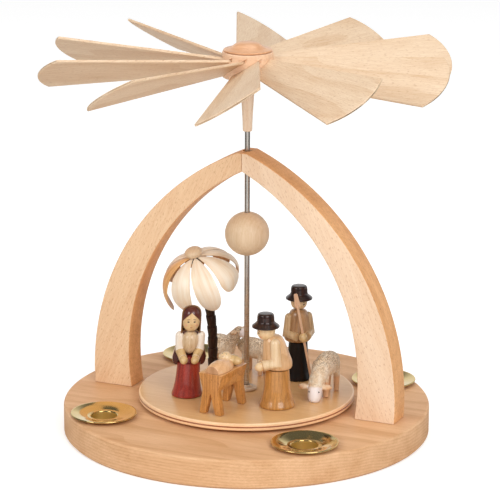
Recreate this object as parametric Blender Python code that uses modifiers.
"""Candle carousel: a heat-driven table pyramid in turned and sawn beech.

Four candles stand in brass dishes on a round base. Their warm air turns a ten-bladed
wing rotor on top of a steel spindle, and the spindle carries the turntable with its
carved figures under a pointed arch.

Frame: metres, +Z up, origin at the centre of the base's underside. X runs along the
arch, from foot to foot, and Y through its thickness.
"""

import math
from dataclasses import dataclass

import bmesh
import bpy
import numpy as np
from mathutils import Euler, Matrix, Vector

PART_NAME = "candle_carousel"

# Clearances and overruns shared by all pieces
SEAT_GAP = 0.0003
RUNNING_GAP = 0.0004
CUT_OVERRUN = 0.004
WELD_DISTANCE = 0.00001

# Base board
BASE_DIAMETER = 0.250
BASE_THICKNESS = 0.020
BASE_TOP_ROUND = 0.0020
BASE_FOOT_CHAMFER = 0.0015
BASE_STEPS = 64

# Arch: two bent legs that meet in a mitre over the spindle
ARCH_THICKNESS = 0.019
ARCH_OUTER_RADIUS = 0.1774
ARCH_OUTER_CENTRE_RISE = 0.0112
ARCH_LEG_DEPTH = 0.0236
ARCH_FOOT_INSET = 0.01335
ARCH_FOOT_DEPTH = 0.0287
ARCH_INNER_CENTRE_RISE = 0.0245
ARCH_EDGE_ROUND = 0.0008
ARCH_CROWN_FLAT = 0.0014
ARCH_ARC_POINTS = 15

# Leg screws, countersunk from below
SCREW_SHANK_RADIUS = 0.0020
SCREW_HEAD_RADIUS = 0.0040
SCREW_HEAD_RECESS = 0.0010
SCREW_LEG_DEPTH = 0.020
SCREW_STEPS = 12

# Spindle and its bearings
SHAFT_RADIUS = 0.0018
SHAFT_POINT_LENGTH = 0.0030
SHAFT_TIP_RADIUS = 0.0003
SHAFT_STEPS = 14
CUP_RADIUS = 0.0050
CUP_HEIGHT = 0.0080
CUP_RECESS_RADIUS = 0.0034
CUP_RECESS_DEPTH = 0.0055
CUP_SINK = 0.0005
BUSH_RADIUS = 0.0029
BUSH_LENGTH = 0.0100
BUSH_BELOW_CROWN = 0.0012
RING_STEPS = 20

# Turntable
TURNTABLE_ARCH_CLEARANCE = 0.00925
TURNTABLE_THICKNESS = 0.0050
TURNTABLE_LIFT = 0.0020
TURNTABLE_LIP_ROUND = 0.0010
TURNTABLE_GROOVE_DEPTH = 0.0005
TURNTABLE_GROOVE_WIDTH = 0.0008
TURNTABLE_STEPS = 60

# Collar and ball on the spindle
COLLAR_FLANGE_RADIUS = 0.0070
COLLAR_FLANGE_HEIGHT = 0.0018
COLLAR_BOSS_RADIUS = 0.0036
COLLAR_HEIGHT = 0.0034
COLLAR_EDGE_ROUND = 0.0005
BALL_DIAMETER = 0.030
BALL_HEIGHT_OVER_BASE = 0.1173
BALL_STEPS = 24
BALL_ARC_STEPS = 11

# Wing rotor
BLADE_COUNT = 10
BLADE_START_ANGLE = math.radians(0.4)
BLADE_PITCH = math.radians(31.2)
BLADE_THICKNESS = 0.0018
BLADE_ROOT_RADIUS = 0.0132
BLADE_ROOT_WIDTH = 0.0262
BLADE_TIP_RADIUS = 0.1402
BLADE_TIP_WIDTH = 0.0474
BLADE_TIP_RISE = 0.0095
BLADE_ARC_POINTS = 11
ROTOR_OVER_ARCH = 0.0577
HUB_RADIUS = 0.0170
HUB_HEIGHT = 0.0154
HUB_EDGE_ROUND = 0.0014
HUB_STEPS = 40
HUB_SOCKET_DEPTH = 0.0060
CAP_RADIUS = 0.0162
CAP_FLANGE_HEIGHT = 0.0021
CAP_HEIGHT = 0.0088
CAP_DOME_RADIUS = 0.0097
CAP_DOME_RISE = 0.0042
CAP_STEPS = 28
STEM_TOP_RADIUS = 0.0050
STEM_BOTTOM_RADIUS = 0.0032
STEM_BOTTOM_ROUND = 0.0006
STEM_SPIGOT_RADIUS = 0.0038
STEM_LENGTH = 0.0366
SHAFT_IN_HUB = 0.0085

# Candle dishes
DISH_COUNT = 4
DISH_INSET = 0.0220
DISH_FIRST_ANGLE = math.radians(45.5)
DISH_RADIUS = 0.0223
DISH_RIM_HEIGHT = 0.0031
DISH_RIM_ROLL = 0.0005
DISH_METAL = 0.0005
DISH_RING_RADIUS = 0.0112
DISH_RING_LIFT = 0.0003
DISH_CUP_RADIUS = 0.0088
DISH_CUP_DEPTH = 0.0095
DISH_STEPS = 26

# Shaved-wood palm
PALM_PLACE = (-0.0300, 0.0100)
PALM_SEGMENTS = 11
PALM_SEGMENT_HEIGHT = 0.0077
PALM_SEGMENT_TOP_RADIUS = 0.0036
PALM_SEGMENT_FOOT_RADIUS = 0.0030
PALM_SEGMENT_LEDGE = 0.0003
PALM_NECK_HEIGHT = 0.0030
PALM_NECK_RADIUS = 0.0028
PALM_BEND_START = 0.0250
PALM_LEAN = 0.0116
PALM_LEAN_DIRECTION = math.radians(203)
PALM_CAP_RADIUS = 0.0061
PALM_CAP_HEIGHT = 0.0060
PALM_CAP_MIDDLE_SHARE = 0.4
PALM_CAP_FOOT_SHARE = 0.8
PALM_CROWN_TILT = math.radians(20)
PALM_CROWN_TILT_DIRECTION = math.radians(245)
LEAF_THICKNESS = 0.0006
LEAF_ROOT_RADIUS = 0.0026
LEAF_ROOT_WIDTH = 0.0044
LEAF_FLAT_RADIUS = 0.0050
LEAF_ROLL = 0.0015
LEAF_LEVEL_SHARE = 0.08
LEAF_WIDEST_SHARE = 0.68
LEAF_TIP_SHARE = 0.985
LEAF_ROWS = 10
LEAF_ROW_RATIO = 1.25
LEAF_COLUMN_SHARES = (-1.0, -0.55, 0.0, 0.55, 1.0)


@dataclass(frozen=True)
class Leaf:
    """How one palm leaf is set round the crown, how far it reaches and falls, its width and its curl."""

    turn: float
    reach: float
    drop: float
    width: float
    sweep: float


LEAVES = (
    Leaf(turn=math.radians(-12), reach=0.0228, drop=0.0166, width=0.0205, sweep=math.radians(112)),
    Leaf(turn=math.radians(33), reach=0.0215, drop=0.0170, width=0.0150, sweep=math.radians(112)),
    Leaf(turn=math.radians(77), reach=0.0215, drop=0.0165, width=0.0164, sweep=math.radians(112)),
    Leaf(turn=math.radians(121), reach=0.0215, drop=0.0165, width=0.0164, sweep=math.radians(112)),
    Leaf(turn=math.radians(165), reach=0.0212, drop=0.0170, width=0.0164, sweep=math.radians(112)),
    Leaf(turn=math.radians(209), reach=0.0228, drop=0.0222, width=0.0180, sweep=math.radians(122)),
    Leaf(turn=math.radians(257), reach=0.0215, drop=0.0202, width=0.0160, sweep=math.radians(118)),
    Leaf(turn=math.radians(305), reach=0.0215, drop=0.0215, width=0.0150, sweep=math.radians(120)),
)

# Turned figures: sizes that several figures share
FIGURE_STEPS = 20
HEAD_STEPS = 16
ARM_RESOLUTION = 2
HAND_COLUMNS = 10
HAND_ROWS = 7
HAT_BRIM_RADIUS = 0.0092
HAT_HEIGHT = 0.0092
HAT_TIP_AHEAD = 0.0004
BODICE_RADIUS = 0.0062
BODICE_LENGTH = 0.0162
BODICE_STEPS = 14
HAIR_RADIUS = 0.0066
HAIR_THICKNESS = 0.0012
STAFF_RADIUS = 0.0009
STAFF_AHEAD = 0.0118
STAFF_FOOT_SIDE = 0.0065
STAFF_TOP_SIDE = -0.0060
STAFF_TOP_HEIGHT = 0.0642
STAFF_BLADE_WIDTH = 0.0040
STAFF_BLADE_LENGTH = 0.0088
STAFF_BLADE_THICKNESS = 0.0011


@dataclass(frozen=True)
class Figure:
    """Sizes of one turned figure. It stands on the turntable and faces along its own X."""

    name: str
    place: tuple
    facing: float
    sway: float
    skirt_radius: float
    waist_radius: float
    skirt_height: float
    skirt_core: float
    skirt_finish: str
    jacket_radius: float
    jacket_height: float
    jacket_drop: float
    jacket_setback: float
    stoop: float
    head_radius: float
    head_height: float
    head_ahead: float
    chin_sink: float
    sleeve_radius: float
    cuff_radius: float
    hand_radius: float
    shoulder: tuple
    elbow: tuple
    wrist: tuple


WOMAN = Figure(
    name="kneeling_woman", place=(-0.0322, -0.0278), facing=math.radians(-64), sway=0.062,
    skirt_radius=0.0104, waist_radius=0.0077, skirt_height=0.0236, skirt_core=0.0046, skirt_finish="red_stain",
    jacket_radius=0.0114, jacket_height=0.0242, jacket_drop=0.0026, jacket_setback=0.0012, stoop=0.04,
    head_radius=0.0059, head_height=0.0166, head_ahead=0.0010, chin_sink=0.0,
    sleeve_radius=0.0023, cuff_radius=0.0025, hand_radius=0.0028,
    shoulder=(0.0002, 0.0072, 0.0424), elbow=(0.0012, 0.0076, 0.0312), wrist=(0.0078, 0.0050, 0.0278))
MAN = Figure(
    name="standing_man", place=(0.0329, -0.0237), facing=math.radians(-145), sway=0.0,
    skirt_radius=0.0121, waist_radius=0.0081, skirt_height=0.0258, skirt_core=0.0, skirt_finish="oak_stain",
    jacket_radius=0.0100, jacket_height=0.0238, jacket_drop=0.0, jacket_setback=0.0008, stoop=0.17,
    head_radius=0.0060, head_height=0.0088, head_ahead=0.0076, chin_sink=0.0034,
    sleeve_radius=0.0029, cuff_radius=0.0035, hand_radius=0.0031,
    shoulder=(0.0030, 0.0072, 0.0455), elbow=(0.0022, 0.0078, 0.0318), wrist=(0.0108, 0.0064, 0.0298))
SHEPHERD = Figure(
    name="shepherd", place=(0.0225, 0.0370), facing=math.radians(-50), sway=0.0,
    skirt_radius=0.0084, waist_radius=0.0065, skirt_height=0.0264, skirt_core=0.0, skirt_finish="black_stain",
    jacket_radius=0.0109, jacket_height=0.0236, jacket_drop=0.0, jacket_setback=0.0022, stoop=0.10,
    head_radius=0.0057, head_height=0.0072, head_ahead=0.0010, chin_sink=0.0,
    sleeve_radius=0.0028, cuff_radius=0.0029, hand_radius=0.0031,
    shoulder=(0.0006, 0.0068, 0.0448), elbow=(0.0012, 0.0076, 0.0332), wrist=(0.0092, 0.0036, 0.0324))

# Turned outlines as (share of the radius, share of the height), and other shares of a figure's sizes
SKIRT_FLARE_SHARES = ((0.15, 0.67), (0.29, 0.45), (0.59, 0.24), (0.80, 0.14), (0.98, 0.06), (1.0, 0.035))
HEM_SHARE = 0.94
JACKET_SHARES = ((0.0, 1.0), (0.34, 0.99), (0.58, 0.93), (0.73, 0.80), (0.82, 0.62), (0.92, 0.42), (1.0, 0.25),
                 (0.98, 0.13), (0.90, 0.04), (0.68, 0.0), (0.0, 0.0))
HEAD_SHARES = ((0.0, 1.0), (0.94, 1.0), (1.0, 0.66), (0.93, 0.34), (0.72, 0.10), (0.40, 0.0), (0.0, 0.0))
BARE_HEAD_SHARES = ((0.0, 1.0), (0.46, 0.97), (0.80, 0.87), (0.98, 0.70), (1.0, 0.38), (0.90, 0.18),
                    (0.66, 0.05), (0.36, 0.0), (0.0, 0.0))
EGG_SHARES = ((0.0, 1.0), (0.50, 0.96), (0.84, 0.82), (1.0, 0.60), (0.94, 0.40), (0.72, 0.20), (0.42, 0.06),
              (0.0, 0.0))
HAIR_SHARES = ((0.0, 1.0), (0.46, 0.975), (0.80, 0.88), (0.96, 0.74), (0.97, 0.46), (1.0, 0.0))
HAT_SHARES = ((0.0, 1.0), (0.42, 0.98), (0.52, 0.91), (0.56, 0.72), (0.59, 0.46), (0.70, 0.32), (0.96, 0.14),
              (1.0, 0.08), (0.95, 0.0), (0.60, 0.06), (0.0, 0.06))
CORE_SHARE = 0.74
SHOULDER_RISE_SHARE = 0.5
SHOULDER_TIP_SHARE = 0.55
ELBOW_SHARE = 1.12
HAND_AHEAD_SHARE = 0.7
BROW_SHARE = 0.74
FACE_OPENING_SHARE = 0.68
HAT_SINK_SHARE = 0.06

# Manger and infant
MANGER_PLACE = (0.0020, -0.0433)
MANGER_HEADING = math.radians(84)
MANGER_LENGTH = 0.0340
MANGER_TOP_WIDTH = 0.0178
MANGER_WAIST_WIDTH = 0.0118
MANGER_FOOT_SPREAD = 0.0168
MANGER_HEIGHT = 0.0280
MANGER_WAIST_HEIGHT = 0.0165
MANGER_LEG_WIDTH = 0.0045
MANGER_LEG_LENGTH = 0.0046
BLANKET_RADIUS = 0.0058
BLANKET_LENGTH = 0.0230
INFANT_HEAD_RADIUS = 0.0043
PILLOW_RADIUS = 0.0034
BLANKET_TAPER_SHARE = 0.86
INFANT_HEAD_AHEAD_SHARE = 0.7
INFANT_HEAD_RISE_SHARE = 1.02
PILLOW_AHEAD_SHARE = 1.3
PILLOW_SHARES = (1.0, 1.7, 0.72)
PILLOW_RISE_SHARE = 0.74

# Sheep
SHEEP_BODY_LENGTH = 0.0262
SHEEP_BODY_HEIGHT = 0.0166
SHEEP_BODY_WIDTH = 0.0134
SHEEP_BODY_CENTRE = 0.0196
SHEEP_LEG_RADIUS = 0.0018
SHEEP_LEG_SPAN = 0.0062
SHEEP_LEG_REACH = 0.0078
SHEEP_NECK_RADIUS = 0.0046
SHEEP_HEAD_WIDTH = 0.0082
SHEEP_HEAD_LENGTH = 0.0122
SHEEP_EAR_LENGTH = 0.0070
SHEEP_EAR_THICKNESS = 0.0016
SHEEP_LEG_TOP_SHARE = 1.3
SHEEP_CHEST_SHARE = 0.52
SHEEP_NECK_FOOT_SHARE = 1.3
SHEEP_NECK_TOP_SHARE = 0.8
SHEEP_FACE_DEPTH_SHARE = 0.46
SHEEP_FACE_AHEAD_SHARE = 0.24
SHEEP_EAR_REACH_SHARE = 0.42
SHEEP_EAR_FLAT_SHARE = 0.7


@dataclass(frozen=True)
class Sheep:
    """Where one sheep stands, and where it holds its poll, ahead of its chest and over its feet."""

    name: str
    place: tuple
    heading: float
    poll_ahead: float
    poll_height: float
    face_drop: float
    growth_share: float


FLOCK = (
    Sheep(name="sheep_grazing", place=(0.0529, 0.0144), heading=math.radians(-94), poll_ahead=0.0042,
          poll_height=0.0090, face_drop=math.radians(72), growth_share=1.0),
    Sheep(name="sheep_lookout", place=(-0.0345, 0.0345), heading=math.radians(-14), poll_ahead=0.0034,
          poll_height=0.0330, face_drop=math.radians(28), growth_share=0.9),
    Sheep(name="sheep_resting", place=(-0.0048, 0.0362), heading=math.radians(-17), poll_ahead=0.0030,
          poll_height=0.0110, face_drop=math.radians(70), growth_share=0.9),
)

# Sizes that follow from the ones above
BASE_RADIUS = BASE_DIAMETER / 2
DISH_CIRCLE_RADIUS = BASE_RADIUS - DISH_INSET
ARCH_INNER_RADIUS = ARCH_OUTER_RADIUS - ARCH_LEG_DEPTH
ARCH_FOOT_OUTER = BASE_RADIUS - ARCH_FOOT_INSET
ARCH_FOOT_INNER = ARCH_FOOT_OUTER - ARCH_FOOT_DEPTH
ARCH_FOOT_CENTRE = (ARCH_FOOT_OUTER + ARCH_FOOT_INNER) / 2
ARCH_OUTER_SETBACK = math.sqrt(ARCH_OUTER_RADIUS ** 2 - ARCH_OUTER_CENTRE_RISE ** 2) - ARCH_FOOT_OUTER
ARCH_INNER_SETBACK = math.sqrt(ARCH_INNER_RADIUS ** 2 - ARCH_INNER_CENTRE_RISE ** 2) - ARCH_FOOT_INNER
ARCH_APEX = ARCH_OUTER_CENTRE_RISE + math.sqrt(ARCH_OUTER_RADIUS ** 2 - ARCH_OUTER_SETBACK ** 2)
TURNTABLE_RADIUS = ARCH_FOOT_INNER - TURNTABLE_ARCH_CLEARANCE
TURNTABLE_TOP = BASE_THICKNESS + TURNTABLE_LIFT + TURNTABLE_THICKNESS
FIGURE_FLOOR = TURNTABLE_TOP + SEAT_GAP
ROTOR_HEIGHT = BASE_THICKNESS + ARCH_APEX - ARCH_CROWN_FLAT + ROTOR_OVER_ARCH
HUB_BOTTOM = ROTOR_HEIGHT - HUB_HEIGHT / 2
HUB_TOP = ROTOR_HEIGHT + HUB_HEIGHT / 2
SHAFT_BORE = SHAFT_RADIUS + SEAT_GAP

# Finishes: colour, roughness, metallic
FINISHES = {
    "beech": ((0.80, 0.55, 0.36), 0.45, 0.0),
    "beech_turntable": ((0.76, 0.50, 0.27), 0.38, 0.0),
    "blade_wood": ((0.86, 0.68, 0.50), 0.50, 0.0),
    "hub_wood": ((0.74, 0.42, 0.22), 0.42, 0.0),
    "ball_wood": ((0.86, 0.70, 0.54), 0.45, 0.0),
    "steel": ((0.55, 0.53, 0.50), 0.28, 1.0),
    "brass": ((0.80, 0.60, 0.26), 0.14, 1.0),
    "clear_plastic": ((0.82, 0.80, 0.78), 0.35, 0.0),
    "shaving": ((0.88, 0.76, 0.56), 0.50, 0.0),
    "dark_stain": ((0.045, 0.025, 0.020), 0.30, 0.0),
    "red_stain": ((0.45, 0.07, 0.05), 0.25, 0.0),
    "oak_stain": ((0.60, 0.34, 0.12), 0.25, 0.0),
    "black_stain": ((0.015, 0.012, 0.012), 0.28, 0.0),
    "pale_lacquer": ((0.78, 0.60, 0.40), 0.25, 0.0),
    "skin_wood": ((0.86, 0.66, 0.44), 0.25, 0.0),
    "manger_wood": ((0.68, 0.38, 0.15), 0.35, 0.0),
    "fleece": ((0.74, 0.64, 0.50), 0.80, 0.0),
}


def clear_scene():
    """Remove the objects that are in the scene."""
    for item in list(bpy.data.objects):
        bpy.data.objects.remove(item, do_unlink=True)


def make_collection(name):
    """Return a new collection under the scene's own one."""
    collection = bpy.data.collections.new(name)
    bpy.context.scene.collection.children.link(collection)
    return collection


def finish(name):
    """Return the Principled BSDF material of one finish, made once."""
    known = bpy.data.materials.get(name)
    if known:
        return known
    colour, roughness, metallic = FINISHES[name]
    material = bpy.data.materials.new(name)
    material.use_nodes = True
    shader = material.node_tree.nodes["Principled BSDF"]
    shader.inputs["Base Color"].default_value = (*colour, 1.0)
    shader.inputs["Roughness"].default_value = roughness
    shader.inputs["Metallic"].default_value = metallic
    return material


def add_object(name, mesh, collection):
    """Link a new object around mesh."""
    item = bpy.data.objects.new(name, mesh)
    collection.objects.link(item)
    return item


def bmesh_object(name, bm, collection):
    """Turn a bmesh into an object."""
    mesh = bpy.data.meshes.new(name)
    bm.to_mesh(mesh)
    bm.free()
    return add_object(name, mesh, collection)


def as_mesh(item, weld=WELD_DISTANCE):
    """Replace a curve or a modified object by its evaluated mesh, caps welded."""
    bpy.context.view_layer.update()
    graph = bpy.context.evaluated_depsgraph_get()
    mesh = bpy.data.meshes.new_from_object(item.evaluated_get(graph))
    bm = bmesh.new()
    bm.from_mesh(mesh)
    bmesh.ops.remove_doubles(bm, verts=bm.verts, dist=weld)
    bmesh.ops.recalc_face_normals(bm, faces=bm.faces)
    bm.to_mesh(mesh)
    bm.free()
    name = item.name
    collection = item.users_collection[0]
    matrix = item.matrix_world.copy()
    bpy.data.objects.remove(item, do_unlink=True)
    result = add_object(name, mesh, collection)
    result.matrix_world = matrix
    return result


def bake_matrix(item, matrix):
    """Move the vertices of an object by a matrix, and its location to the origin."""
    item.data.transform(matrix @ item.matrix_world)
    item.matrix_world = Matrix.Identity(4)
    return item


def turned(name, profile, steps, collection):
    """Turn a profile of (radius, height) points round Z, listed down its outer side."""
    mesh = bpy.data.meshes.new(name)
    points = [(radius, 0.0, height) for radius, height in profile]
    on_axis = profile[0][0] == 0 and profile[-1][0] == 0
    edges = [(i, i + 1) for i in range(len(points) - 1)]
    if not on_axis:
        edges.append((len(points) - 1, 0))
    mesh.from_pydata(points, edges, [])
    item = add_object(name, mesh, collection)
    screw = item.modifiers.new("turn", "SCREW")
    screw.steps = steps
    screw.render_steps = steps
    screw.use_merge_vertices = True
    screw.merge_threshold = WELD_DISTANCE
    return as_mesh(item)


def flat_outline(name, points, thickness, collection):
    """Extrude a closed outline in XY to a plate centred on Z = 0."""
    curve = bpy.data.curves.new(name, "CURVE")
    curve.dimensions = "2D"
    curve.fill_mode = "BOTH"
    curve.extrude = thickness / 2
    spline = curve.splines.new("POLY")
    spline.points.add(len(points) - 1)
    for point, (x, y) in zip(spline.points, points):
        point.co = (x, y, 0.0, 1.0)
    spline.use_cyclic_u = True
    item = add_object(name, curve, collection)
    return as_mesh(item)


def tube(name, points, radii, resolution, collection):
    """Sweep a round section along points, with one radius a point."""
    curve = bpy.data.curves.new(name, "CURVE")
    curve.dimensions = "3D"
    curve.bevel_depth = 1.0
    curve.bevel_resolution = resolution
    curve.use_fill_caps = True
    spline = curve.splines.new("POLY")
    spline.points.add(len(points) - 1)
    for point, place, radius in zip(spline.points, points, radii):
        point.co = (*place, 1.0)
        point.radius = radius
    item = add_object(name, curve, collection)
    return as_mesh(item)


def box(name, size, collection):
    """Return a box centred on the origin."""
    bm = bmesh.new()
    bmesh.ops.create_cube(bm, size=1.0)
    bmesh.ops.scale(bm, vec=size, verts=bm.verts)
    return bmesh_object(name, bm, collection)


def ellipsoid(name, radii, centre, columns, rows, collection):
    """Return an ellipsoid of given half sizes."""
    bm = bmesh.new()
    bmesh.ops.create_uvsphere(bm, u_segments=columns, v_segments=rows, radius=1.0)
    bmesh.ops.scale(bm, vec=radii, verts=bm.verts)
    bmesh.ops.translate(bm, vec=centre, verts=bm.verts)
    return bmesh_object(name, bm, collection)


def rod(name, foot, top, foot_radius, top_radius, sides, collection):
    """Return a straight tapered rod between two points."""
    start = Vector(foot)
    run = Vector(top) - start
    bm = bmesh.new()
    bmesh.ops.create_cone(bm, cap_ends=True, segments=sides, radius1=foot_radius,
                          radius2=top_radius, depth=run.length)
    turn = run.to_track_quat("Z", "Y").to_matrix().to_4x4()
    bmesh.ops.transform(bm, matrix=Matrix.Translation(start + run / 2) @ turn, verts=bm.verts)
    return bmesh_object(name, bm, collection)


def boolean(item, tools, operation):
    """Join or cut an object with tools, which it uses up."""
    for tool in tools:
        modifier = item.modifiers.new(operation.lower(), "BOOLEAN")
        modifier.operation = operation
        modifier.solver = "EXACT"
        modifier.object = tool
    result = as_mesh(item)
    for tool in tools:
        bpy.data.objects.remove(tool, do_unlink=True)
    return result


def smooth(item, angle=math.radians(35)):
    """Shade an object smooth, with sharp edges over an angle."""
    item.data.shade_smooth()
    item.data.set_sharp_from_angle(angle=angle)


def paint(item, finish_name, parent=None):
    """Give an object its finish, shading and parent."""
    item.data.materials.clear()
    item.data.materials.append(finish(finish_name))
    smooth(item)
    if parent is not None:
        item.parent = parent
        item.matrix_parent_inverse = Matrix.Identity(4)
    return item


def empty(name, collection, place=(0.0, 0.0, 0.0), turn=0.0, parent=None):
    """Return an empty that places what it carries."""
    holder = bpy.data.objects.new(name, None)
    holder.empty_display_size = SHAFT_RADIUS
    collection.objects.link(holder)
    holder.parent = parent
    holder.location = place
    holder.rotation_euler = (0.0, 0.0, turn)
    return holder


def arc(centre, radius, start, end, count):
    """Return count points on an arc, both ends included."""
    angles = np.linspace(start, end, count)
    return [(centre[0] + radius * math.cos(a), centre[1] + radius * math.sin(a)) for a in angles]


def drill(collection, radius, bottom, top, place=(0.0, 0.0), steps=RING_STEPS):
    """Return a cutter for a straight round hole."""
    return rod("drill", (*place, bottom), (*place, top), radius, radius, steps, collection)


class Workshop:
    """Holds the collections that the pieces and their cutters go into."""

    def __init__(self):
        self.parts = make_collection(PART_NAME)
        self.tools = make_collection(PART_NAME + "_cutters")


def arch_crown(radius, setback, rise):
    """Return the height over the base at which an arch curve meets its mirror image."""
    return rise + math.sqrt(radius ** 2 - setback ** 2)


def build_base(shop):
    """The round board, with bores for candle cups, bearing cup and leg screws."""
    round_points = arc((BASE_RADIUS - BASE_TOP_ROUND, BASE_THICKNESS - BASE_TOP_ROUND),
                       BASE_TOP_ROUND, math.pi / 2, 0.0, 4)
    profile = [(0.0, BASE_THICKNESS), *round_points,
               (BASE_RADIUS, BASE_FOOT_CHAMFER),
               (BASE_RADIUS - BASE_FOOT_CHAMFER, 0.0), (0.0, 0.0)]
    board = turned("base_board", profile, BASE_STEPS, shop.parts)
    over = BASE_THICKNESS + CUT_OVERRUN
    cup_bottom = BASE_THICKNESS - CUP_SINK - CUP_HEIGHT - SEAT_GAP
    cutters = [drill(shop.tools, CUP_RADIUS + SEAT_GAP, cup_bottom, over)]
    dish_bore = DISH_CUP_RADIUS + DISH_METAL + SEAT_GAP
    dish_floor = BASE_THICKNESS - DISH_CUP_DEPTH - DISH_METAL - SEAT_GAP
    for place in dish_places():
        cutters.append(drill(shop.tools, dish_bore, dish_floor, over, place))
    for side in (-1, 1):
        cutters.append(screw_hole_cutter(shop, side * ARCH_FOOT_CENTRE))
    paint(boolean(board, cutters, "DIFFERENCE"), "beech")


def screw_hole_cutter(shop, place):
    """Return a leg screw's hole through the base: shank, countersink and a straight recess."""
    shank = SCREW_SHANK_RADIUS + SEAT_GAP
    head = SCREW_HEAD_RADIUS + SEAT_GAP
    flare_top = SCREW_HEAD_RECESS + head - shank + SEAT_GAP
    over = BASE_THICKNESS + CUT_OVERRUN
    profile = [(0.0, over), (shank, over), (shank, flare_top), (head, SCREW_HEAD_RECESS + SEAT_GAP),
               (head, -CUT_OVERRUN), (0.0, -CUT_OVERRUN)]
    cutter = turned("screw_hole", profile, SCREW_STEPS, shop.tools)
    return bake_matrix(cutter, Matrix.Translation((place, 0.0, 0.0)))


def build_screws(shop):
    """One countersunk wood screw up into each leg."""
    flare = SCREW_HEAD_RADIUS - SCREW_SHANK_RADIUS
    tip = BASE_THICKNESS + SCREW_LEG_DEPTH
    profile = [(0.0, tip), (SHAFT_TIP_RADIUS, tip), (SCREW_SHANK_RADIUS, tip - SCREW_SHANK_RADIUS),
               (SCREW_SHANK_RADIUS, SCREW_HEAD_RECESS + flare), (SCREW_HEAD_RADIUS, SCREW_HEAD_RECESS),
               (0.0, SCREW_HEAD_RECESS)]
    for side, label in ((-1, "left"), (1, "right")):
        screw = turned("leg_screw_" + label, profile, SCREW_STEPS, shop.parts)
        screw.location = (side * ARCH_FOOT_CENTRE, 0.0, 0.0)
        paint(screw, "steel")


def arch_curve(radius, setback, rise, count, flat=0.0):
    """Points of one arch curve from the foot up to the mitre, as (distance, height over base)."""
    mitre = SEAT_GAP / 2
    foot = math.asin((SEAT_GAP - rise) / radius)
    crown = math.acos((setback + mitre) / radius)
    if flat == 0:
        return arc((-setback, rise), radius, foot, crown, count)
    level = arch_crown(radius, setback, rise) - flat
    shoulder = math.asin((level - rise) / radius)
    return arc((-setback, rise), radius, foot, shoulder, count) + [(mitre, level)]


def build_arch(shop):
    """Two bent legs, sawn to a pointed arch and mitred over the spindle."""
    outer = arch_curve(ARCH_OUTER_RADIUS, ARCH_OUTER_SETBACK, ARCH_OUTER_CENTRE_RISE, ARCH_ARC_POINTS,
                       ARCH_CROWN_FLAT)
    inner = arch_curve(ARCH_INNER_RADIUS, ARCH_INNER_SETBACK, ARCH_INNER_CENTRE_RISE, ARCH_ARC_POINTS)
    leg = flat_outline("arch_right", outer + inner[::-1], ARCH_THICKNESS, shop.parts)
    upright = Matrix.Translation((0.0, 0.0, BASE_THICKNESS)) @ Matrix.Rotation(math.pi / 2, 4, "X")
    bake_matrix(leg, upright)
    edge = leg.modifiers.new("edge", "BEVEL")
    edge.width = ARCH_EDGE_ROUND
    edge.segments = 1
    edge.limit_method = "ANGLE"
    edge.angle_limit = math.radians(60)
    leg = as_mesh(leg)
    crown = BASE_THICKNESS + ARCH_APEX - ARCH_CROWN_FLAT
    under = BASE_THICKNESS + arch_crown(ARCH_INNER_RADIUS, ARCH_INNER_SETBACK, ARCH_INNER_CENTRE_RISE)
    bush_hole = drill(shop.tools, BUSH_RADIUS + SEAT_GAP, under - CUT_OVERRUN, crown + CUT_OVERRUN)
    screw_hole = drill(shop.tools, SCREW_SHANK_RADIUS + SEAT_GAP, BASE_THICKNESS - CUT_OVERRUN,
                       BASE_THICKNESS + SCREW_LEG_DEPTH + SEAT_GAP, (ARCH_FOOT_CENTRE, 0.0), SCREW_STEPS)
    leg = paint(boolean(leg, [bush_hole, screw_hole], "DIFFERENCE"), "beech")
    other = add_object("arch_left", leg.data, shop.parts)
    other.rotation_euler = (0.0, 0.0, math.pi)
    return crown


def ring(name, outer, inner, bottom, top, steps, shop, edge=0.0):
    """A turned ring with an optional rounded top edge."""
    corner = [(outer, top)] if edge == 0 else arc((outer - edge, top - edge), edge, math.pi / 2, 0.0, 3)
    profile = [(inner, top), *corner, (outer, bottom), (inner, bottom)]
    return turned(name, profile, steps, shop.parts)


def build_bearings(shop, crown):
    """The foot bearing cup in the base, and the guide bush in the arch's crown."""
    top = BASE_THICKNESS - CUP_SINK
    profile = [(0.0, top - CUP_RECESS_DEPTH), (SHAFT_TIP_RADIUS * 2, top - CUP_RECESS_DEPTH),
               (CUP_RECESS_RADIUS, top - CUP_RECESS_DEPTH / 2),
               (CUP_RECESS_RADIUS, top), (CUP_RADIUS, top),
               (CUP_RADIUS, top - CUP_HEIGHT), (0.0, top - CUP_HEIGHT)]
    paint(turned("bearing_cup", profile, RING_STEPS, shop.parts), "clear_plastic")
    bush_top = crown - BUSH_BELOW_CROWN
    bush = ring("guide_bush", BUSH_RADIUS, SHAFT_RADIUS + RUNNING_GAP, bush_top - BUSH_LENGTH,
                bush_top, RING_STEPS, shop)
    paint(bush, "brass")


def dish_places():
    """Centres of the candle dishes on the base."""
    angles = [DISH_FIRST_ANGLE + i * math.tau / DISH_COUNT for i in range(DISH_COUNT)]
    return [(DISH_CIRCLE_RADIUS * math.cos(a), DISH_CIRCLE_RADIUS * math.sin(a)) for a in angles]


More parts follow.
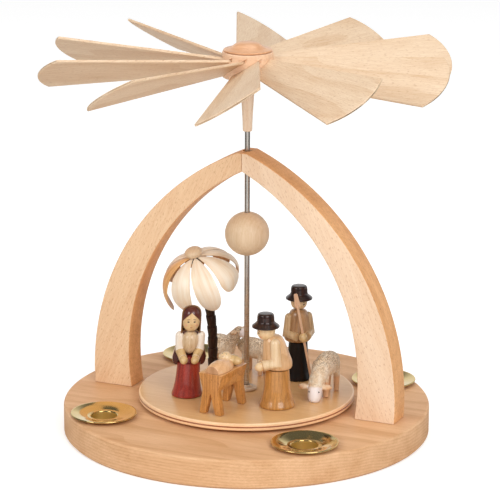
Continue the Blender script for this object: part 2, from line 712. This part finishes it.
def dish_profile():
    """Section of a spun brass dish: candle cup, flat ring, cone and rolled rim."""
    metal = DISH_METAL
    ring_top = DISH_RING_LIFT + metal
    floor = -DISH_CUP_DEPTH
    lip = DISH_CUP_RADIUS + metal
    ease = metal
    inside = [(0.0, floor), (DISH_CUP_RADIUS, floor), (DISH_CUP_RADIUS, DISH_RING_LIFT),
              (lip, ring_top), (DISH_RING_RADIUS, ring_top),
              (DISH_RADIUS - DISH_RIM_ROLL, DISH_RIM_HEIGHT)]
    outside = [(DISH_RADIUS, DISH_RIM_HEIGHT - DISH_RIM_ROLL),
               (DISH_RADIUS - DISH_RIM_ROLL, DISH_RIM_HEIGHT - DISH_RIM_ROLL * 2),
               (DISH_RING_RADIUS + ease, DISH_RING_LIFT), (lip, DISH_RING_LIFT),
               (lip, floor - metal), (0.0, floor - metal)]
    return inside + outside


def build_dishes(shop):
    """Four dishes, each with its cup sunk in the base."""
    names = ("back_right", "back_left", "front_left", "front_right")
    for name, place in zip(names, dish_places()):
        dish = turned("candle_dish_" + name, dish_profile(), DISH_STEPS, shop.parts)
        dish.location = (*place, BASE_THICKNESS)
        paint(dish, "brass")


def build_spindle(shop, spindle):
    """Steel shaft, turntable, collar and ball."""
    tip = BASE_THICKNESS - CUP_SINK - CUP_RECESS_DEPTH + SEAT_GAP
    top = HUB_BOTTOM + SHAFT_IN_HUB
    profile = [(0.0, top), (SHAFT_RADIUS, top), (SHAFT_RADIUS, tip + SHAFT_POINT_LENGTH),
               (SHAFT_TIP_RADIUS, tip), (0.0, tip)]
    paint(turned("shaft", profile, SHAFT_STEPS, shop.parts), "steel", spindle)
    paint(turned("turntable", turntable_profile(), TURNTABLE_STEPS, shop.parts), "beech_turntable", spindle)
    foot = FIGURE_FLOOR
    flange = foot + COLLAR_FLANGE_HEIGHT
    flange_edge = arc((COLLAR_FLANGE_RADIUS - COLLAR_EDGE_ROUND, flange - COLLAR_EDGE_ROUND),
                      COLLAR_EDGE_ROUND, math.pi / 2, 0.0, 3)
    collar = [(SHAFT_BORE, foot + COLLAR_HEIGHT), (COLLAR_BOSS_RADIUS, foot + COLLAR_HEIGHT),
              (COLLAR_BOSS_RADIUS, flange), *flange_edge, (COLLAR_FLANGE_RADIUS, foot), (SHAFT_BORE, foot)]
    paint(turned("collar", collar, RING_STEPS, shop.parts), "clear_plastic", spindle)
    radius = BALL_DIAMETER / 2
    dip = math.asin(SHAFT_BORE / radius)
    centre = BASE_THICKNESS + BALL_HEIGHT_OVER_BASE
    ball = arc((0.0, centre), radius, math.pi / 2 - dip, dip - math.pi / 2, BALL_ARC_STEPS)
    paint(turned("ball", ball, BALL_STEPS, shop.parts), "ball_wood", spindle)


def turntable_profile():
    """Thin disc with rounded lips and a fine groove between its plies."""
    top = TURNTABLE_TOP
    bottom = top - TURNTABLE_THICKNESS
    middle = (top + bottom) / 2
    radius = TURNTABLE_RADIUS
    lip = TURNTABLE_LIP_ROUND
    groove = TURNTABLE_GROOVE_WIDTH / 2
    return [(SHAFT_BORE, top), *arc((radius - lip, top - lip), lip, math.pi / 2, 0.0, 3),
            (radius, middle + groove), (radius - TURNTABLE_GROOVE_DEPTH, middle), (radius, middle - groove),
            *arc((radius - lip, bottom + lip), lip, 0.0, -math.pi / 2, 3), (SHAFT_BORE, bottom)]


def blade_outline():
    """Blade in its own plane: root on the left, swelling to a bowed tip."""
    half_root = BLADE_ROOT_WIDTH / 2
    half_tip = BLADE_TIP_WIDTH / 2
    bow = (half_tip ** 2 + BLADE_TIP_RISE ** 2) / (2 * BLADE_TIP_RISE)
    spread = math.asin(half_tip / bow)
    tip = arc((BLADE_TIP_RADIUS - bow, 0.0), bow, -spread, spread, BLADE_ARC_POINTS)
    return [(BLADE_ROOT_RADIUS, half_root), (BLADE_ROOT_RADIUS, -half_root), *tip]


def blade_turn(index):
    """Rotation of one blade: pitched about its length, then set round the hub."""
    return Euler((BLADE_PITCH, 0.0, BLADE_START_ANGLE + index * math.tau / BLADE_COUNT))


def build_rotor(shop, rotor):
    """Slotted hub, cap, stem sleeve and ten pitched blades."""
    stem_bore_top = HUB_BOTTOM + SHAFT_IN_HUB + SEAT_GAP
    socket_top = HUB_BOTTOM + HUB_SOCKET_DEPTH
    edge = arc((HUB_RADIUS - HUB_EDGE_ROUND, HUB_BOTTOM + HUB_EDGE_ROUND), HUB_EDGE_ROUND,
               0.0, -math.pi / 2, 3)
    socket = STEM_SPIGOT_RADIUS + SEAT_GAP
    hub_profile = [(0.0, HUB_TOP), (HUB_RADIUS, HUB_TOP), *edge, (socket, HUB_BOTTOM),
                   (socket, socket_top), (SHAFT_BORE, socket_top), (SHAFT_BORE, stem_bore_top),
                   (0.0, stem_bore_top)]
    hub = turned("rotor_hub", hub_profile, HUB_STEPS, shop.parts)
    slot_floor = BLADE_ROOT_RADIUS - SEAT_GAP
    slot_length = HUB_RADIUS - slot_floor + CUT_OVERRUN
    slots = []
    for index in range(BLADE_COUNT):
        slot = box("slot", (slot_length, HUB_HEIGHT * 4, BLADE_THICKNESS + SEAT_GAP * 2), shop.tools)
        shift = Matrix.Translation((slot_floor + slot_length / 2, 0.0, 0.0))
        place = Matrix.Translation((0.0, 0.0, ROTOR_HEIGHT)) @ blade_turn(index).to_matrix().to_4x4()
        slots.append(bake_matrix(slot, place @ shift))
    hub = boolean(hub, slots, "DIFFERENCE")
    paint(hub, "hub_wood", rotor)
    build_cap(shop, rotor)
    build_stem(shop, rotor)
    for index in range(BLADE_COUNT):
        blade = flat_outline("blade_%02d" % (index + 1), blade_outline(), BLADE_THICKNESS, shop.parts)
        blade.location = (0.0, 0.0, ROTOR_HEIGHT)
        blade.rotation_euler = blade_turn(index)
        paint(blade, "blade_wood", rotor)


def build_cap(shop, rotor):
    """Domed cap on the hub, closing the blade slots from above."""
    bottom = HUB_TOP + SEAT_GAP
    flange = bottom + CAP_FLANGE_HEIGHT
    top = bottom + CAP_HEIGHT
    foot = top - CAP_DOME_RISE
    sphere = (CAP_DOME_RADIUS ** 2 + CAP_DOME_RISE ** 2) / (2 * CAP_DOME_RISE)
    spread = math.asin(CAP_DOME_RADIUS / sphere)
    dome = arc((0.0, top - sphere), sphere, math.pi / 2, math.pi / 2 - spread, 6)
    round_size = CAP_FLANGE_HEIGHT / 2
    cove = [((CAP_DOME_RADIUS * 2 + CAP_RADIUS) / 3, (foot + flange * 2) / 3)]
    edge = arc((CAP_RADIUS - round_size, flange - round_size), round_size, math.pi / 2, -math.pi / 2, 5)
    profile = [(0.0, top), *dome[1:], *cove, *edge, (0.0, bottom)]
    paint(turned("hub_cap", profile, CAP_STEPS, shop.parts), "hub_wood", rotor)


def build_stem(shop, rotor):
    """Tapered sleeve under the hub, bored for the shaft, with a spigot into the hub."""
    top = HUB_BOTTOM - SEAT_GAP
    bottom = HUB_BOTTOM - STEM_LENGTH
    spigot = HUB_BOTTOM + HUB_SOCKET_DEPTH - SEAT_GAP
    edge = arc((STEM_BOTTOM_RADIUS - STEM_BOTTOM_ROUND, bottom + STEM_BOTTOM_ROUND), STEM_BOTTOM_ROUND,
               0.0, -math.pi / 2, 3)
    profile = [(SHAFT_BORE, spigot), (STEM_SPIGOT_RADIUS, spigot), (STEM_SPIGOT_RADIUS, top),
               (STEM_TOP_RADIUS, top), *edge, (SHAFT_BORE, bottom)]
    paint(turned("rotor_stem", profile, RING_STEPS, shop.parts), "blade_wood", rotor)


def palm_axis(height):
    """Centre of the palm's trunk at a height: upright, then bending over."""
    total = PALM_SEGMENTS * PALM_SEGMENT_HEIGHT
    share = max(0.0, (height - PALM_BEND_START) / (total - PALM_BEND_START))
    shift = PALM_LEAN * share ** 2
    return (shift * math.cos(PALM_LEAN_DIRECTION), shift * math.sin(PALM_LEAN_DIRECTION), height)


def build_palm(shop, spindle):
    """Turned trunk of stacked cups, a crown of shaved leaves and a bead on top."""
    holder = empty("palm_place", shop.parts, (*PALM_PLACE, FIGURE_FLOOR), parent=spindle)
    points = []
    radii = []
    for index in range(PALM_SEGMENTS):
        foot = index * PALM_SEGMENT_HEIGHT
        ledge = foot + PALM_SEGMENT_HEIGHT - PALM_SEGMENT_LEDGE
        points += [palm_axis(foot), palm_axis(ledge)]
        radii += [PALM_SEGMENT_FOOT_RADIUS, PALM_SEGMENT_TOP_RADIUS]
    last = Vector(points[-1])
    tilt = PALM_CROWN_TILT
    way = PALM_CROWN_TILT_DIRECTION
    upward = Vector((math.sin(tilt) * math.cos(way), math.sin(tilt) * math.sin(way), math.cos(tilt)))
    points += [last + upward * PALM_NECK_HEIGHT * share for share in (0.6, 1.0)]
    radii += [PALM_NECK_RADIUS, PALM_NECK_RADIUS]
    trunk = tube("palm_trunk", points, radii, ARM_RESOLUTION, shop.parts)
    paint(trunk, "dark_stain", holder)
    crown = Vector(points[-1]) + upward * (SEAT_GAP + LEAF_THICKNESS)
    head = empty("palm_head", shop.parts, crown, parent=holder)
    head.rotation_euler = Matrix.Rotation(tilt, 3, (-math.sin(way), math.cos(way), 0.0)).to_euler()
    for index, leaf in enumerate(LEAVES):
        blade = build_leaf(shop, "palm_leaf_%d" % (index + 1), leaf)
        blade.rotation_euler = (0.0, 0.0, leaf.turn)
        paint(blade, "shaving", head)
    bottom = LEAF_THICKNESS + SEAT_GAP
    middle = bottom + PALM_CAP_HEIGHT * PALM_CAP_MIDDLE_SHARE
    dome = PALM_CAP_HEIGHT * (1 - PALM_CAP_MIDDLE_SHARE)
    bead = [(0.0, middle + dome)]
    for angle in np.linspace(math.pi / 3, 0.0, 4):
        bead.append((PALM_CAP_RADIUS * math.cos(angle), middle + dome * math.sin(angle)))
    bead += [(PALM_CAP_RADIUS * PALM_CAP_FOOT_SHARE, bottom), (0.0, bottom)]
    paint(turned("palm_bead", bead, HEAD_STEPS, shop.parts), "shaving", head)


def leaf_wedge():
    """Half of the narrowest angle between two neighbouring leaves."""
    turns = [leaf.turn for leaf in LEAVES]
    following = turns[1:] + [turns[0] + math.tau]
    return min(after - before for before, after in zip(turns, following)) / 2


def leaf_point(leaf, share, across):
    """Place on a leaf: share runs root to tip, across -1 to 1 over its width."""
    angle = leaf.sweep * max(0.0, share - LEAF_LEVEL_SHARE) / (1 - LEAF_LEVEL_SHARE)
    level = min(1.0, share / LEAF_LEVEL_SHARE)
    reach = LEAF_ROOT_RADIUS + (LEAF_FLAT_RADIUS - LEAF_ROOT_RADIUS) * level + leaf.reach * math.sin(angle)
    drop = leaf.drop * (1 - math.cos(angle))
    if share < LEAF_WIDEST_SHARE:
        swell = math.sin(math.pi / 2 * share / LEAF_WIDEST_SHARE)
        half = (LEAF_ROOT_WIDTH + (leaf.width - LEAF_ROOT_WIDTH) * swell) / 2
    else:
        past = (share - LEAF_WIDEST_SHARE) / (1 - LEAF_WIDEST_SHARE)
        half = leaf.width / 2 * math.sqrt(1 - (past * LEAF_TIP_SHARE) ** 2)
    roll = LEAF_ROLL * half / leaf.width * 2
    room = (reach - LEAF_THICKNESS - roll * math.sin(angle)) * math.tan(leaf_wedge()) - SEAT_GAP
    half = min(room, half)
    roll *= across ** 2
    return (reach - roll * math.sin(angle), half * across, -drop - roll * math.cos(angle))


def build_leaf(shop, name, leaf):
    """One curled shaving, thickened from an open strip."""
    shares = [1 - (1 - i / LEAF_ROWS) ** LEAF_ROW_RATIO for i in range(LEAF_ROWS + 1)]
    bm = bmesh.new()
    grid = []
    for share in shares:
        grid.append([bm.verts.new(leaf_point(leaf, share, across)) for across in LEAF_COLUMN_SHARES])
    for lower, upper in zip(grid, grid[1:]):
        for left in range(len(LEAF_COLUMN_SHARES) - 1):
            bm.faces.new((lower[left], upper[left], upper[left + 1], lower[left + 1]))
    strip = bmesh_object(name, bm, shop.parts)
    shell = strip.modifiers.new("shaving", "SOLIDIFY")
    shell.thickness = LEAF_THICKNESS
    shell.offset = 0.0
    return as_mesh(strip)


def lean(item, forward, side, datum):
    """Shear a piece forward and sideways over the height datum."""
    matrix = Matrix.Identity(4)
    matrix[0][2] = forward
    matrix[1][2] = side
    matrix[0][3] = -forward * datum
    matrix[1][3] = -side * datum
    item.data.transform(matrix)
    return item


def from_shares(shares, radius, height, bottom):
    """Scale a profile given as shares of a radius and a height, standing at bottom."""
    return [(radius * out, bottom + height * up) for out, up in shares]


def build_skirt(shop, figure):
    """Bell of a skirt, with a core that a jacket with an open front shows."""
    flare = figure.skirt_radius - figure.waist_radius
    height = figure.skirt_height
    side = [(figure.waist_radius + flare * out, height * up) for out, up in SKIRT_FLARE_SHARES]
    top = [(0.0, height)]
    if figure.skirt_core:
        core = core_radius(figure)
        top = [(0.0, height + figure.skirt_core), (core, height + figure.skirt_core), (core, height)]
    profile = [*top, (figure.waist_radius, height), *side, (figure.skirt_radius * HEM_SHARE, 0.0), (0.0, 0.0)]
    return turned(figure.name + "_skirt", profile, FIGURE_STEPS, shop.parts)


def core_radius(figure):
    """Radius of the core that a skirt carries up into its jacket."""
    return figure.waist_radius * CORE_SHARE


def build_sleeve(shop, figure, name, side):
    """A sleeve mitred at the elbow with a round hand, and the cutter of its seat in the jacket."""
    joints = (figure.shoulder, figure.elbow, figure.wrist)
    shoulder, elbow, wrist = [Vector((x, side * y, z)) for x, y, z in joints]
    radius = figure.sleeve_radius
    rise = (shoulder - elbow).normalized()
    points = [shoulder + rise * radius * SHOULDER_RISE_SHARE, shoulder, elbow, wrist]
    radii = [radius * SHOULDER_TIP_SHARE, radius, radius * ELBOW_SHARE, figure.cuff_radius]
    sleeve = tube(name, points, radii, ARM_RESOLUTION, shop.parts)
    seat = tube("seat", points, [r + SEAT_GAP for r in radii], ARM_RESOLUTION, shop.tools)
    grip = figure.hand_radius
    ahead = (wrist - elbow).normalized()
    palm = wrist + ahead * grip * HAND_AHEAD_SHARE
    hand, hollow = [ellipsoid("hand", (size, size, size), palm, HAND_COLUMNS, HAND_ROWS, shop.tools)
                    for size in (grip, grip + SEAT_GAP)]
    return boolean(sleeve, [hand], "UNION"), boolean(seat, [hollow], "UNION")


def build_jacket(shop, figure, name, seats):
    """Turned jacket, bulging at the back, with seats cut for sleeves and head."""
    bottom = figure.skirt_height + SEAT_GAP - figure.jacket_drop
    profile = from_shares(JACKET_SHARES, figure.jacket_radius, figure.jacket_height, bottom)
    jacket = turned(name, profile, FIGURE_STEPS, shop.parts)
    bake_matrix(jacket, Matrix.Translation((-figure.jacket_setback, 0.0, 0.0)))
    lean(jacket, figure.stoop, 0.0, bottom)
    return boolean(jacket, seats, "DIFFERENCE")


def open_jacket_front(shop, figure, jacket):
    """Open the jacket's front over the skirt and fill it with an egg-shaped bodice."""
    top = head_bottom(figure) - SEAT_GAP
    tip = top - BODICE_LENGTH
    opening = box("opening", (figure.jacket_radius * 2, figure.jacket_radius * 3, figure.jacket_height * 2),
                  shop.tools)
    bake_matrix(opening, Matrix.Translation((figure.jacket_radius + figure.elbow[0], 0.0, tip)))
    jacket = boolean(jacket, [opening], "DIFFERENCE")
    outline = from_shares(EGG_SHARES, BODICE_RADIUS, BODICE_LENGTH, tip)
    egg = turned("bodice", outline, BODICE_STEPS, shop.tools)
    bake_matrix(egg, Matrix.Translation((figure.elbow[0], 0.0, 0.0)))
    jacket = boolean(jacket, [egg], "UNION")
    waist_top = figure.skirt_height + SEAT_GAP
    waist = drill(shop.tools, figure.waist_radius + SEAT_GAP, figure.skirt_height / 2, waist_top,
                  steps=FIGURE_STEPS)
    core = drill(shop.tools, core_radius(figure) + SEAT_GAP, figure.skirt_height - CUT_OVERRUN,
                 waist_top + figure.skirt_core, steps=FIGURE_STEPS)
    return boolean(jacket, [waist, core], "DIFFERENCE")


def head_bottom(figure):
    """Height of a figure's chin over the turntable."""
    jacket_top = figure.skirt_height + SEAT_GAP - figure.jacket_drop + figure.jacket_height
    return jacket_top + SEAT_GAP - figure.chin_sink


def head_seat(shop, figure):
    """Cutter of the hollow that a bowed head leaves in the jacket."""
    room = [(0.0, figure.head_height * 2), (figure.head_radius + SEAT_GAP, figure.head_height * 2)]
    shares = HEAD_SHARES[2:]
    ball = [((figure.head_radius + SEAT_GAP) * out, figure.head_height * up - SEAT_GAP) for out, up in shares]
    cutter = turned("head_seat", room + ball, HEAD_STEPS, shop.tools)
    return bake_matrix(cutter, Matrix.Translation((figure.head_ahead, 0.0, head_bottom(figure))))


def build_head(shop, figure, shares):
    """Plain turned head."""
    profile = from_shares(shares, figure.head_radius, figure.head_height, head_bottom(figure))
    head = turned(figure.name + "_head", profile, HEAD_STEPS, shop.parts)
    return bake_matrix(head, Matrix.Translation((figure.head_ahead, 0.0, 0.0)))


def build_hat(shop, figure):
    """Round hat with a drooping brim."""
    bottom = head_bottom(figure) + figure.head_height + SEAT_GAP - HAT_HEIGHT * HAT_SINK_SHARE
    hat = turned(figure.name + "_hat", from_shares(HAT_SHARES, HAT_BRIM_RADIUS, HAT_HEIGHT, bottom),
                 FIGURE_STEPS, shop.parts)
    return bake_matrix(hat, Matrix.Translation((figure.head_ahead + HAT_TIP_AHEAD, 0.0, 0.0)))


def add_long_hair(shop, figure, head):
    """Hood of long hair over a bare head, open at the face."""
    bottom = head_bottom(figure)
    height = figure.head_height + HAIR_THICKNESS / 2
    outer = from_shares(HAIR_SHARES, HAIR_RADIUS, height, bottom)
    inner = [(r - HAIR_THICKNESS, z - HAIR_THICKNESS) for r, z in outer[1:-1]]
    profile = [*outer, (HAIR_RADIUS - HAIR_THICKNESS, bottom), *inner[::-1], (0.0, inner[0][1])]
    hair = turned("hair", profile, HEAD_STEPS, shop.tools)
    brow = bottom + figure.head_height * BROW_SHARE
    face = box("face", (HAIR_RADIUS, HAIR_RADIUS * 3, brow - bottom + CUT_OVERRUN), shop.tools)
    middle = (brow + bottom - CUT_OVERRUN) / 2
    bake_matrix(face, Matrix.Translation((HAIR_RADIUS * FACE_OPENING_SHARE, 0.0, middle)))
    hair = boolean(hair, [face], "DIFFERENCE")
    bake_matrix(hair, Matrix.Translation((figure.head_ahead, 0.0, 0.0)))
    return boolean(head, [hair], "UNION")


def place_figure(shop, spindle, figure, pieces):
    """Sway the pieces of a figure, finish them and stand them on the turntable."""
    holder = empty(figure.name + "_place", shop.parts, (*figure.place, FIGURE_FLOOR), figure.facing, spindle)
    for item, finish_name in pieces:
        lean(item, 0.0, figure.sway, 0.0)
        paint(item, finish_name, holder)


def build_woman(shop, spindle):
    """Kneeling woman with long hair, an open jacket and bent arms."""
    figure = WOMAN
    left, left_seat = build_sleeve(shop, figure, figure.name + "_left_arm", 1)
    right, right_seat = build_sleeve(shop, figure, figure.name + "_right_arm", -1)
    jacket = build_jacket(shop, figure, figure.name + "_bodice", [])
    jacket = open_jacket_front(shop, figure, jacket)
    jacket = boolean(jacket, [left_seat, right_seat], "DIFFERENCE")
    head = add_long_hair(shop, figure, build_head(shop, figure, BARE_HEAD_SHARES))
    place_figure(shop, spindle, figure, [
        (build_skirt(shop, figure), figure.skirt_finish), (jacket, "pale_lacquer"), (head, "skin_wood"),
        (left, "pale_lacquer"), (right, "pale_lacquer")])


def build_man(shop, spindle):
    """Standing man, bowed over the manger with both hands out."""
    figure = MAN
    left, left_seat = build_sleeve(shop, figure, figure.name + "_left_arm", 1)
    right, right_seat = build_sleeve(shop, figure, figure.name + "_right_arm", -1)
    seats = [left_seat, right_seat, head_seat(shop, figure)]
    place_figure(shop, spindle, figure, [
        (build_skirt(shop, figure), figure.skirt_finish),
        (build_jacket(shop, figure, figure.name + "_jacket", seats), "pale_lacquer"),
        (build_head(shop, figure, HEAD_SHARES), "skin_wood"), (build_hat(shop, figure), "dark_stain"),
        (left, "pale_lacquer"), (right, "pale_lacquer")])


def build_shepherd(shop, spindle):
    """Shepherd with joined hands round a staff."""
    figure = SHEPHERD
    arms, left_seat = build_sleeve(shop, figure, figure.name + "_arms", 1)
    other, right_seat = build_sleeve(shop, figure, "other_arm", -1)
    arms = boolean(arms, [other], "UNION")
    foot, top = staff_ends()
    grip_hole = rod("grip_hole", foot, top, STAFF_RADIUS + SEAT_GAP, STAFF_RADIUS + SEAT_GAP, 8, shop.tools)
    arms = boolean(arms, [grip_hole], "DIFFERENCE")
    coat = build_jacket(shop, figure, figure.name + "_coat", [left_seat, right_seat])
    place_figure(shop, spindle, figure, [
        (build_skirt(shop, figure), figure.skirt_finish), (coat, "pale_lacquer"),
        (build_head(shop, figure, HEAD_SHARES), "skin_wood"), (build_hat(shop, figure), "dark_stain"),
        (arms, "pale_lacquer"), (build_staff(shop), "skin_wood")])


def staff_ends():
    """Foot and top of the staff's centre line, in the shepherd's own frame."""
    return Vector((STAFF_AHEAD, STAFF_FOOT_SIDE, 0.0)), Vector((STAFF_AHEAD, STAFF_TOP_SIDE, STAFF_TOP_HEIGHT))


def build_staff(shop):
    """A thin staff with a flat scoop at its upper end."""
    foot, top = staff_ends()
    staff = rod("shepherd_staff", foot, top, STAFF_RADIUS, STAFF_RADIUS, 8, shop.parts)
    outline = [(-STAFF_BLADE_WIDTH / 2, 0.0), (0.0, -STAFF_BLADE_WIDTH / 2), (STAFF_BLADE_WIDTH / 2, 0.0),
               (STAFF_BLADE_WIDTH / 3, STAFF_BLADE_LENGTH), (-STAFF_RADIUS, STAFF_BLADE_LENGTH)]
    blade = flat_outline("scoop", outline, STAFF_BLADE_THICKNESS, shop.tools)
    lean_angle = math.atan2(STAFF_TOP_SIDE - STAFF_FOOT_SIDE, STAFF_TOP_HEIGHT)
    upright = Matrix(((0.0, 0.0, 1.0, 0.0), (1.0, 0.0, 0.0, 0.0), (0.0, 1.0, 0.0, 0.0), (0.0, 0.0, 0.0, 1.0)))
    swing = Matrix.Rotation(-lean_angle, 4, "X")
    drop = Matrix.Translation((0.0, 0.0, -STAFF_BLADE_LENGTH))
    bake_matrix(blade, Matrix.Translation(top) @ swing @ drop @ upright)
    return boolean(staff, [blade], "UNION")


def manger_end_outline():
    """End view of the manger: a trough narrowing to a waist, over splayed legs."""
    top = MANGER_TOP_WIDTH / 2
    waist = MANGER_WAIST_WIDTH / 2
    foot = MANGER_FOOT_SPREAD / 2
    leg = MANGER_LEG_WIDTH
    right = [(foot - leg, 0.0), (foot, 0.0), (waist, MANGER_WAIST_HEIGHT), (top, MANGER_HEIGHT)]
    notch = [(0.0, MANGER_WAIST_HEIGHT - leg / 2)]
    return right + [(-x, y) for x, y in right[::-1]] + notch


def build_manger(shop, spindle):
    """Manger sawn from one block, and the infant laid in it."""
    holder = empty("manger_place", shop.parts, (*MANGER_PLACE, FIGURE_FLOOR), MANGER_HEADING, spindle)
    manger = flat_outline("manger", manger_end_outline(), MANGER_LENGTH, shop.parts)
    stand = Matrix(((0.0, 0.0, 1.0, 0.0), (1.0, 0.0, 0.0, 0.0), (0.0, 1.0, 0.0, 0.0), (0.0, 0.0, 0.0, 1.0)))
    bake_matrix(manger, stand)
    gap = box("leg_gap", (MANGER_LENGTH - MANGER_LEG_LENGTH * 2, MANGER_FOOT_SPREAD + CUT_OVERRUN,
                          MANGER_WAIST_HEIGHT + CUT_OVERRUN), shop.tools)
    bake_matrix(gap, Matrix.Translation((0.0, 0.0, (MANGER_WAIST_HEIGHT - CUT_OVERRUN) / 2)))
    paint(boolean(manger, [gap], "DIFFERENCE"), "manger_wood", holder)
    floor = MANGER_HEIGHT + SEAT_GAP
    front = -MANGER_LENGTH / 2
    blanket = rod("infant", (front, 0.0, floor), (front + BLANKET_LENGTH, 0.0, floor), BLANKET_RADIUS,
                  BLANKET_RADIUS * BLANKET_TAPER_SHARE, 14, shop.parts)
    under = box("under", (MANGER_LENGTH * 2, MANGER_TOP_WIDTH * 2, BLANKET_RADIUS * 2), shop.tools)
    bake_matrix(under, Matrix.Translation((0.0, 0.0, floor - BLANKET_RADIUS)))
    blanket = boolean(blanket, [under], "DIFFERENCE")
    end = front + BLANKET_LENGTH
    size = INFANT_HEAD_RADIUS
    head_place = (end + size * INFANT_HEAD_AHEAD_SHARE, 0.0, floor + size * INFANT_HEAD_RISE_SHARE)
    head = ellipsoid("infant_head", (size, size, size), head_place, 12, 8, shop.tools)
    pillow_place = (end + size * PILLOW_AHEAD_SHARE, 0.0, floor + PILLOW_RADIUS * PILLOW_RISE_SHARE)
    pillow_radii = [PILLOW_RADIUS * share for share in PILLOW_SHARES]
    pillow = ellipsoid("pillow", pillow_radii, pillow_place, 12, 8, shop.tools)
    paint(boolean(blanket, [head, pillow], "UNION"), "skin_wood", holder)


def build_sheep(shop, spindle, sheep):
    """One carved sheep: body, legs, neck, head and ears in one piece of wood."""
    holder = empty(sheep.name + "_place", shop.parts, (*sheep.place, FIGURE_FLOOR), sheep.heading, spindle)
    half = SHEEP_BODY_LENGTH / 2
    body = ellipsoid(sheep.name, (half, SHEEP_BODY_WIDTH / 2, SHEEP_BODY_HEIGHT / 2),
                     (0.0, 0.0, SHEEP_BODY_CENTRE), 14, 9, shop.parts)
    limbs = []
    for ahead in (-SHEEP_LEG_REACH, SHEEP_LEG_REACH):
        for side in (-SHEEP_LEG_SPAN / 2, SHEEP_LEG_SPAN / 2):
            limbs.append(rod("leg", (ahead, side, 0.0), (ahead, side, SHEEP_BODY_CENTRE), SHEEP_LEG_RADIUS,
                             SHEEP_LEG_RADIUS * SHEEP_LEG_TOP_SHARE, 7, shop.tools))
    chest = Vector((half * SHEEP_CHEST_SHARE, 0.0, SHEEP_BODY_CENTRE + SHEEP_LEG_RADIUS))
    poll = Vector((half + sheep.poll_ahead, 0.0, sheep.poll_height))
    limbs.append(rod("neck", chest, poll, SHEEP_NECK_RADIUS * SHEEP_NECK_FOOT_SHARE,
                     SHEEP_NECK_RADIUS * SHEEP_NECK_TOP_SHARE, 9, shop.tools))
    gaze = Vector((math.cos(sheep.face_drop), 0.0, -math.sin(sheep.face_drop)))
    face_radii = (SHEEP_HEAD_WIDTH * SHEEP_FACE_DEPTH_SHARE, SHEEP_HEAD_WIDTH / 2, SHEEP_HEAD_LENGTH / 2)
    face = ellipsoid("face", face_radii, (0.0, 0.0, 0.0), 10, 8, shop.tools)
    turn = gaze.to_track_quat("Z", "Y").to_matrix().to_4x4()
    ahead = Matrix.Translation(poll + gaze * SHEEP_HEAD_LENGTH * SHEEP_FACE_AHEAD_SHARE)
    limbs.append(bake_matrix(face, ahead @ turn))
    for side in (-1, 1):
        reach = side * (SHEEP_HEAD_WIDTH + SHEEP_EAR_LENGTH) * SHEEP_EAR_REACH_SHARE
        ear_height = SHEEP_EAR_THICKNESS * SHEEP_EAR_FLAT_SHARE
        limbs.append(ellipsoid("ear", (SHEEP_EAR_THICKNESS, SHEEP_EAR_LENGTH / 2, ear_height),
                               poll + Vector((0.0, reach, 0.0)), 7, 5, shop.tools))
    body = boolean(body, limbs, "UNION")
    body.data.transform(Matrix.Scale(sheep.growth_share, 4))
    paint(body, "fleece", holder)


def main():
    """Build the whole carousel."""
    clear_scene()
    shop = Workshop()
    build_base(shop)
    build_screws(shop)
    crown = build_arch(shop)
    build_bearings(shop, crown)
    build_dishes(shop)
    spindle = empty("spindle_axis", shop.parts)
    build_spindle(shop, spindle)
    build_rotor(shop, spindle)
    build_palm(shop, spindle)
    build_woman(shop, spindle)
    build_man(shop, spindle)
    build_shepherd(shop, spindle)
    build_manger(shop, spindle)
    for sheep in FLOCK:
        build_sheep(shop, spindle, sheep)


main()
